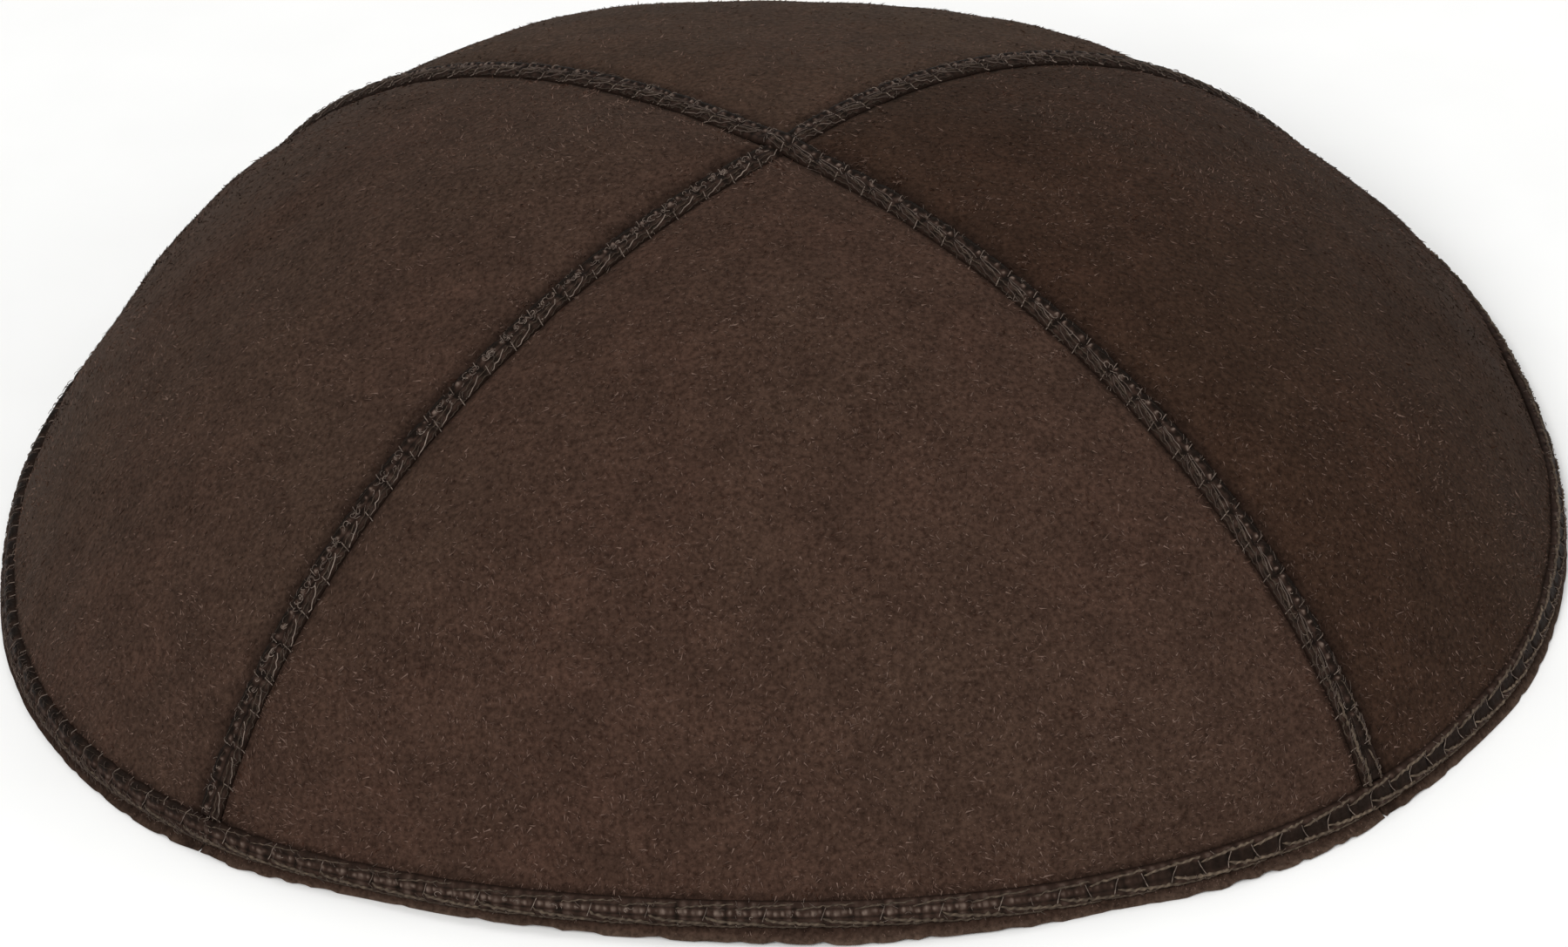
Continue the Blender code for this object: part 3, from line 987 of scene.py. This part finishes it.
def lay_ridges(strands, ridges):
    """Corded ridges, each run hooked in at its start and ending just outside the next one."""
    path = strands.path
    count = int(round(strands.length / path.stitch))
    share = strands.share
    for ridge in ridges:
        start = (np.arange(count) + ridge.phase) * path.stitch
        start = start[:, None] + strands.vary(0, 0.00008, count)
        along = start + share * path.stitch * 1.03
        hook = (1 - share) ** 6 * strands.vary(0.9, 0.15, count)
        run = ridge.start + (ridge.end - ridge.start) * share ** 0.8
        inward = -np.sign(ridge.start)
        across = run + inward * 0.22 * hook + strands.vary(0, 0.025, count)
        place = strands.place(along)
        across = across + 0.03 * wobble(path, place, 0.0012, int(ridge.phase * 100))
        thick = ridge.radius * looked(path, place, ridge.look)
        lumpy = 1 + 0.22 * wobble(path, place, 0.0010, 95)
        lumpy += 0.20 * np.cos(2 * np.pi * place / RIM_BEAD_PITCH)
        ends = 1 - 0.55 * strands.near_end ** 8
        sink = 0.00014 * strands.near_end ** 8
        # Ridges painted paler as lit where the pane look is strong, a painted highlight where the
        # satin's ridges catch the light
        paler = 0.68 if path.closed else 0.45
        paler = paler + (1 - paler) * looked(path, place, "pane")
        strands.lay(along, across, thick * 0.5 - sink, np.maximum(thick * lumpy * ends, 0.00001),
                    ridge.shade * paler * strands.vary(1, 0.12, count))


def lay_hairs(strands, ridges, amount):
    """Short slanted fibres that stand out of the ridges, painted paler as lit where the cloth is
    open.
    """
    path = strands.path
    along = strands.strew(amount, lambda place: looked(path, place, "hairs"))
    count = len(along)
    shade = 0.34 + 0.30 * looked(path, strands.place(along), "pane")
    which = strands.rng.integers(0, 2, count)
    middle = np.array([(ridge.start + ridge.end) / 2 for ridge in ridges])[which]
    share = strands.share
    lean = strands.vary(0.00022, 0.00012, count)
    across = middle[:, None] + strands.vary(0, 0.10, count)
    across = across + (share - 0.5) * strands.vary(0.30, 0.08, count)
    strands.lay(along + lean * (share - 0.5) * 2, across,
                0.00015 + 0.00005 * strands.bow, 0.000032,
                shade * strands.vary(1, 0.3, count))


def lay_fringe(strands, amount):
    """Brown fibres worn loose over the rim's lower half and its hem, at the left."""
    path = strands.path
    along = strands.strew(
        amount, lambda place: 1 - worn_hem(np.interp(place, path.along, path.places)))
    count = len(along)
    share = strands.share
    lean = strands.vary(0.0005, 0.0004, count)
    across = strands.draw(0.0, 1.0, count) + strands.draw(0.2, 0.5, count) * share
    along = along + lean * share + strands.vary(0, 0.00015, count) * strands.bow
    lift = 0.00005 + 0.00030 * np.clip(across - 0.9, 0, 1.2) + 0.0001 * strands.bow
    pale = np.where(strands.draw(0, 1, count) < 0.12, 0.7, 0.22)
    strands.lay(along, across, lift, 0.00004, pale * strands.vary(1, 0.2, count))


def lay_rungs(strands):
    """Zigzag threads across the rim's ribbon, which lean one way and the other by turns."""
    path = strands.path
    count = int(round(path.along[-1] / path.stitch * 2))
    order = np.arange(count)[:, None]
    leaning = order % 2 == 0
    share = strands.share
    lean = np.where(leaning, -0.00030, 0.00034) + strands.vary(0, 0.00005, count)
    start = order * path.stitch / 2 + strands.vary(0, 0.00005, count)
    far = -0.60 - 0.42 * looked(path, start[:, :1], "roll")
    across = far + (0.62 - far) * share + strands.vary(0, 0.03, count)
    # Where the cloth is gathered, the leaning threads show on the beads and the others sink
    open_cloth = looked(path, start[:, :1], "pane")
    sunk = np.where(leaning, 0.00010, 0.00002) * (1 - open_cloth)
    dip = sunk + (0.00004 + 0.00012 * (1 - open_cloth)) * strands.near_end ** 3
    strands.lay(start - lean * (share - 0.5) * 2, across, THREAD_RADIUS - dip, THREAD_RADIUS,
                strands.vary(0.85, 0.1, count))
    # Their ends reappear as short ticks below the lower ridge
    across = 0.80 + 0.24 * share
    ticks = start + 0.0002 + 0.00022 * (share - 0.5)
    strands.lay(ticks[::2], across, 0.00010, THREAD_RADIUS * 0.9, 0.7 + 0 * ticks[::2])


def lay_stitches(strands, sewing):
    """Threads of a seam: over the smooth edge, along the middle or near edge, then off it."""
    path = strands.path
    share = strands.share
    count = int(strands.length / path.stitch)
    start = (np.arange(count) * path.stitch)[:, None]

    def vary(value, amount):
        return strands.vary(value, amount, count)

    over = start + vary(0, 0.0001) - 0.0004 * (1 - share)
    strands.lay(over, vary(-1.02, 0.05) + 0.85 * share, 0.00008 + 0.00006 * strands.bow,
                THREAD_RADIUS * 0.9, vary(0.75, 0.1))
    for offset in (-0.13, 0.13) if sewing.middle else ():
        along = start + path.stitch * (0.04 + 0.90 * share) + vary(0, 0.00012)
        bow = 0.16 * strands.bow * vary(1, 0.3) + vary(0, 0.05)
        across = 0.02 + 0.40 * share ** 0.6 - bow * 0.4 + offset * (0.4 + share)
        place = strands.place(along)
        covered = 1 - looked(path, place, "pane")
        strands.lay(along, across + 0.03 * wobble(path, place, 0.0012, 96 + int(20 * offset)),
                    0.00004 - 0.0001 * strands.near_end ** 6, 0.000062 * covered + 0.000005,
                    sewing.middle * vary(0.85, 0.2) * covered)
    along = start + path.stitch * (0.22 + 0.68 * share)
    across = 0.70 + 0.24 * share ** 0.7 - 0.25 * (1 - share) ** 5 + vary(0, 0.04)
    strands.lay(along, across + 0.03 * wobble(path, strands.place(along), 0.0015, 97),
                0.00006, 0.00007, sewing.edge * vary(0.85, 0.15))
    off = start + path.stitch * 0.96 + 0.00035 * (share - 0.5) + vary(0, 0.0001)
    strands.lay(off, vary(0.50, 0.06) + vary(0.72, 0.08) * share, 0.00006, THREAD_RADIUS,
                vary(0.85, 0.1))


def lay_loops(strands, amount, middle_across):
    """Small curls of fibre that stand up where the smooth half meets the gathers."""
    middle = strands.strew(1000 * amount, lambda place: looked(strands.path, place, "beads"))
    count = len(middle)
    size = strands.draw(0.00012, 0.00034, count)
    sweep = strands.draw(1.6, 4.2, count)
    turn = strands.draw(0, 2 * np.pi, count) + sweep * strands.share
    across = strands.vary(middle_across, 0.17, count) + np.sin(turn) * size / (RIBBON_WIDTH / 2)
    strands.lay(middle + np.cos(turn) * size * 1.3, across, 0.00003 + 0.00010 * strands.bow,
                0.00004, strands.vary(0.75, 0.25, count))


def lay_fuzz(strands, amount, reach):
    """Loose fine fibres that stand off the ribbon's edges."""
    share = strands.share
    count = int(strands.length * amount)
    along = strands.draw(0, strands.length, count)
    side = strands.rng.choice((-1.0, 1.0), count)[:, None]
    across = side * (strands.draw(0.3, 1.05, count) + reach * share)
    drift = strands.vary(0, 0.0004, count) * share + strands.vary(0, 0.0002, count) * share ** 2
    lift = strands.draw(0, 0.00025, count) * np.sin(np.pi * share * 0.8)
    strands.lay(along + drift, across, lift, 0.000028, strands.vary(0.6, 0.2, count))


def lay_inside(strands):
    """Zigzag of the same stitches where they come through inside the cap."""
    count = 2 * round(2 * np.pi * RIM_RADIUS / RIM_STITCH)
    start = np.arange(count)[:, None]
    station = (start + strands.share) * ROUND / count
    above_rim = RAW_EDGE + RIBBON_WIDTH * (0.9 - 0.8 * np.abs((start % 2) - strands.share))
    lay_on_inside(strands, station, 1 - above_rim / fall_length(station))
    for seam in range(len(SEAMS)):
        count = int(2 * fall_length(2 * seam) / SEAM_STITCH)
        start = np.arange(3, count - 1)[:, None]
        fall = (start + strands.share) * ribbon_foot(2 * seam) / count
        across = RIBBON_WIDTH * 0.36 * (2 * np.abs((start % 2) - strands.share) - 1)
        round_length = station_length(np.full_like(fall, 2.0 * seam), fall)
        lay_on_inside(strands, 2 * seam + across / round_length, fall)


def lay_on_inside(strands, station, fall):
    points, inward = inside_point(station, fall)
    arch = INSIDE_ARCH * (1 + strands.bow)[:, None]
    strands.keep(points + inward * arch, inward, THREAD_RADIUS * 1.8,
                 strands.vary(1.0, 0.1, len(points)))


def add_inside_nap():
    """Sparse short fibres of the flesh side, all over the inside."""
    rng = np.random.default_rng(16)
    places = [scattered_places(index, INSIDE_FIBRES // len(PANELS), rng)
              for index in range(len(PANELS))]
    station, fall = np.concatenate(places, axis=1)
    points, inward = inside_point(station, fall)
    free = points[:, 2] > 0.0004
    station, fall, points, inward = (part[free] for part in (station, fall, points, inward))
    count = len(points)
    round_way, down_way = crown_frame(station, fall)[:2]
    turn = 1.5 + 1.3 * waves(points, 0.03, 36) + rng.normal(0, 0.9, count)
    flat_ways = turned(round_way, down_way, turn)
    ways = unit(flat_ways + inward * rng.uniform(0.1, 0.5, count)[:, None])
    sides = unit(np.cross(ways, inward + 0.3 * rng.normal(size=(count, 3))))
    lengths = rng.gamma(6.0, INSIDE_NAP_LENGTH / 6, count)
    widths = rng.uniform(0.00012, 0.00022, count)
    add_fibres("nap_inside", points, ways, sides, lengths, widths,
               nap_material("inside", INSIDE_NAP_COLOR),
               tone=0.2 + rng.beta(0.8, 2.0, count) * 0.8, crease=np.zeros(count),
               edge=np.zeros(count))


def add_ridges(name, ridges, cord, seed, *run):
    cords = Strands(seed, RIDGE_STEPS, *run)
    lay_ridges(cords, ridges)
    cords.build(name, cord, "ribbon", RIDGE_TWIST)


def add_rim_trim(satin, cord, thread):
    """Ribbon round the rim with its ridges, its threads and the threads inside the cap."""
    rim = traced(rim_route, 0, ROUND, 1, RIM_LOOKS, RIM_STITCH, closed=True)
    add_ribbon("rim_trim", rim, satin)
    add_ridges("ridges_rim", RIM_RIDGES, cord, 41, rim)
    threads = Strands(42, THREAD_STEPS, rim)
    lay_rungs(threads)
    lay_hairs(threads, RIM_RIDGES, 3200)
    lay_fringe(threads, 6500)
    lay_loops(threads, 0.25, 0.0)
    lay_fuzz(threads, 500, 0.3)
    threads.build("thread_rim", thread, "thread", THREAD_TWIST)
    threads = Strands(43, THREAD_STEPS, rim)
    lay_inside(threads)
    threads.build("thread_inside", thread, "thread", THREAD_TWIST)


def add_seam_trims(satin, cord, thread):
    """Ribbons over the seams: a long one over the crown, and two that end beneath it."""
    crossing = traced(long_route, ribbon_foot(2), -ribbon_foot(6), -1, SEAM_LOOKS, SEAM_STITCH,
                      lift=CROSSING_LIFT)
    add_ribbon("seam_trim_long", crossing, satin)
    # Both halves of the long ribbon are sewn from the crown down, in whole stitches
    to_crown = fall_length(2) * ribbon_foot(2) / crossing.stitch
    crown = math.ceil(to_crown) * crossing.stitch
    runs = {"front_right": (crossing, crown, -1, crown),
            "back_left": (crossing, crown, 1, crossing.along[-1] - crown)}
    for sewing in SEWINGS:
        station = sewing.station
        run = runs.get(sewing.name)
        if run is None:
            path = traced(seam_route(station), 0.004, ribbon_foot(station), sewing.near,
                          sewing.looks, SEAM_STITCH, lift=-CROSSING_LIFT / 2)
            add_ribbon("seam_trim_" + sewing.name, path, satin)
            run = (path,)
        add_ridges("ridges_" + sewing.name, SEAM_RIDGES, cord, 60 + station, *run)
        threads = Strands(70 + station, THREAD_STEPS, *run)
        lay_stitches(threads, sewing)
        lay_hairs(threads, SEAM_RIDGES, 6000)
        lay_loops(threads, sewing.loops, sewing.loops_at)
        lay_fuzz(threads, 700, 0.35)
        threads.build("thread_" + sewing.name, thread, "thread", THREAD_TWIST)


def build_camera():
    """Camera at the photograph's angle, from the front and about 32 degrees above."""
    tilt = math.pi / 2 - math.radians(CAMERA_RISE)
    turn = Matrix.Rotation(tilt, 4, "X") @ Matrix.Rotation(math.radians(CAMERA_ROLL), 4, "Z")
    place = Vector(CAMERA_TARGET) - Vector(PLAN_CENTRE) + turn.col[2].to_3d() * CAMERA_DISTANCE
    data = bpy.data.cameras.new("camera")
    data.sensor_width = 36.0
    data.lens = FOCAL_PIXELS * data.sensor_width / IMAGE_WIDTH
    data.clip_end = 10
    item = bpy.data.objects.new("camera", data)
    item.matrix_world = Matrix.Translation(place) @ turn
    bpy.context.scene.collection.objects.link(item)
    bpy.context.scene.camera = item


def build_stage():
    """Pale floor, an even sky and the lights."""
    nodes = Nodes("floor")
    speckle = nodes.noise(60, 2, 0.3, 0.7)
    color = nodes.mix(speckle, (0.86, 0.86, 0.85, 1.0), (0.88, 0.88, 0.87, 1.0))
    nodes.surface(color, 0.9, 0.5)
    bpy.ops.mesh.primitive_plane_add(size=8, location=(0, 0, -0.0001))
    floor = bpy.context.object
    floor.name = "floor"
    floor.data.materials.append(nodes.material)
    world = bpy.data.worlds.new("sky")
    world.use_nodes = True
    sky = world.node_tree.nodes["Background"]
    sky.inputs["Color"].default_value = (1, 1, 1, 1)
    sky.inputs["Strength"].default_value = SKY_STRENGTH
    bpy.context.scene.world = world
    for light in LIGHTS:
        data = bpy.data.lights.new(light.name, "AREA")
        data.shape = "DISK"
        data.size = light.size
        data.energy = light.power
        item = bpy.data.objects.new(light.name, data)
        item.location = light.place
        way = Vector(LIGHT_TARGET) - Vector(light.place)
        item.rotation_euler = way.to_track_quat("-Z", "Y").to_euler()
        bpy.context.scene.collection.objects.link(item)
    bpy.context.scene.view_settings.view_transform = "Standard"


def main():
    inside = inside_material()
    for index in range(len(PANELS)):
        add_panel(index, inside)
        add_nap(index)
    add_inside_nap()
    trim_materials = ribbon_material(), thread_material(RIDGE_CORD), thread_material(THREAD_CORD)
    add_rim_trim(*trim_materials)
    add_seam_trims(*trim_materials)
    build_stage()
    build_camera()


main()
